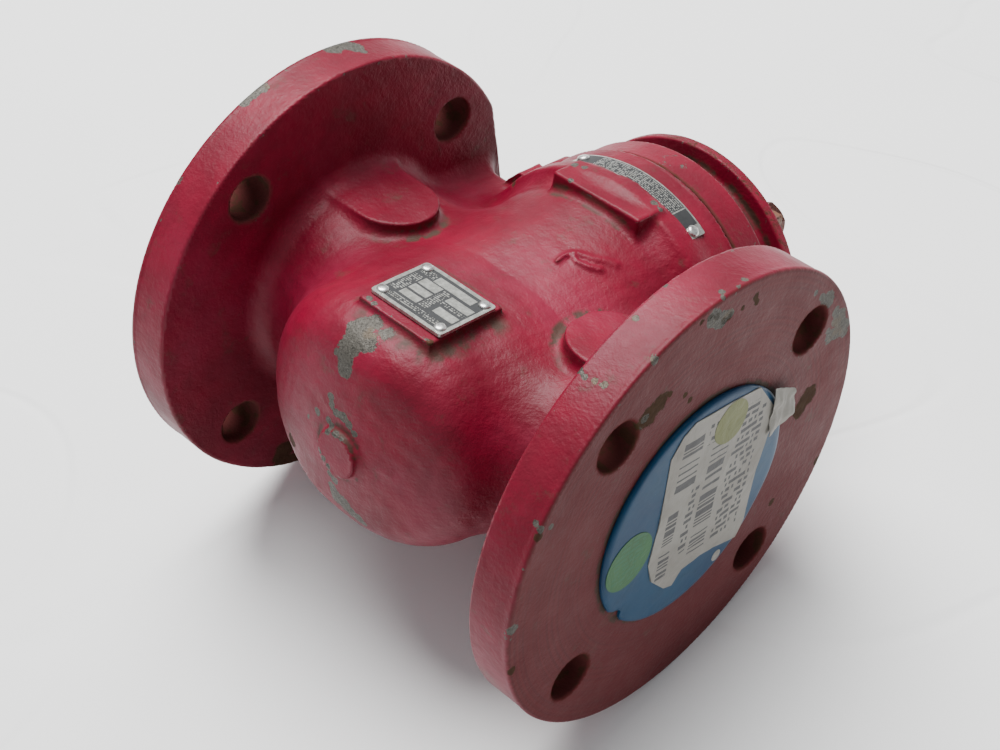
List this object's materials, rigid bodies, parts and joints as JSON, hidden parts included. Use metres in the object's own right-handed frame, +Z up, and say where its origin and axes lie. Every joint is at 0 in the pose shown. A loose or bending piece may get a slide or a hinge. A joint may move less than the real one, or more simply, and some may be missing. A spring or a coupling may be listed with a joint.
{
  "type": "plug valve",
  "caption": "Lubricated quarter-turn plug valve with flat-faced pipe flanges, tapered plug, clamped cover, stem square and push-in port protectors.",
  "frame": {"origin": "centre of the inlet flange's face, on the pipe axis; the valve lies on its two flange rims and the rim of its top plate", "axes": "+X along the pipe from inlet to outlet, +Z up, +Y level and towards the stem's end, which droops 18.8 degrees below +Y"},
  "size_m": [0.2108, 0.2736, 0.1904],
  "materials": {
    "red_paint": "satin crimson enamel over rough iron casting, chipped and grimy",
    "cast_iron": "bare grey cast iron where the paint is chipped",
    "machined_steel": "turned steel, lightly rusted where it is exposed",
    "screw_steel": "dark oiled screw steel",
    "bearing_bronze": "plain bronze",
    "gasket": "dark compressed fibre",
    "packing": "braided graphite packing",
    "plate_aluminium": "thin etched aluminium with dark blank fields",
    "protector_plastic": "blue moulded polyethylene",
    "label_paper": "wrinkled white paper with plain bars",
    "green_paper": "green paper sticker",
    "olive_paper": "olive green paper sticker"
  },
  "bodies": {
    "valve_body": {"valve_body": "red_paint", "cover": "red_paint", "cover_gasket": "gasket", "cover_screws": "screw_steel", "thrust_washer": "bearing_bronze", "packing_ring_1": "packing", "packing_ring_2": "packing", "packing_ring_3": "packing", "gland_follower": "bearing_bronze", "top_plate": "red_paint", "plate_lock_washers": "screw_steel", "plate_screws": "screw_steel", "stop_pins": "screw_steel", "collar_lug_screw": "red_paint", "nameplate": "plate_aluminium", "nameplate_pins": "plate_aluminium", "lubrication_band": "plate_aluminium", "band_pins": "plate_aluminium"},
    "plug": {"plug": "machined_steel", "stop_collar": "machined_steel", "retaining_ring": "screw_steel", "check_seat": "bearing_bronze", "check_retainer": "screw_steel"},
    "sealant_screw": {"sealant_screw": "screw_steel"},
    "check_ball": {"check_ball": "screw_steel"},
    "inlet_protector": {"inlet_protector": "protector_plastic"},
    "outlet_protector": {"outlet_protector": "protector_plastic", "shipping_label": "label_paper", "green_sticker": "green_paper", "olive_sticker": "olive_paper"}
  },
  "joints": [
    {"name": "plug_turn", "type": "hinge", "parent": "valve_body", "child": "plug", "pos_m": [0.1016, 0, 0], "axis": [0, -0.9464, 0.3231], "range_deg": [0, 90]},
    {"name": "sealant_screw_travel", "type": "slide", "parent": "plug", "child": "sealant_screw", "axis": [0, 0.9464, -0.3231], "range_m": [0, 0.03]},
    {"name": "check_ball_lift", "type": "slide", "parent": "plug", "child": "check_ball", "axis": [0, -0.9464, 0.3231], "range_m": [0, 0.002]},
    {"name": "inlet_protector_pull", "type": "slide", "parent": "valve_body", "child": "inlet_protector", "axis": [-1, 0, 0], "range_m": [0, 0.03]},
    {"name": "outlet_protector_pull", "type": "slide", "parent": "valve_body", "child": "outlet_protector", "axis": [1, 0, 0], "range_m": [0, 0.03]}
  ]
}
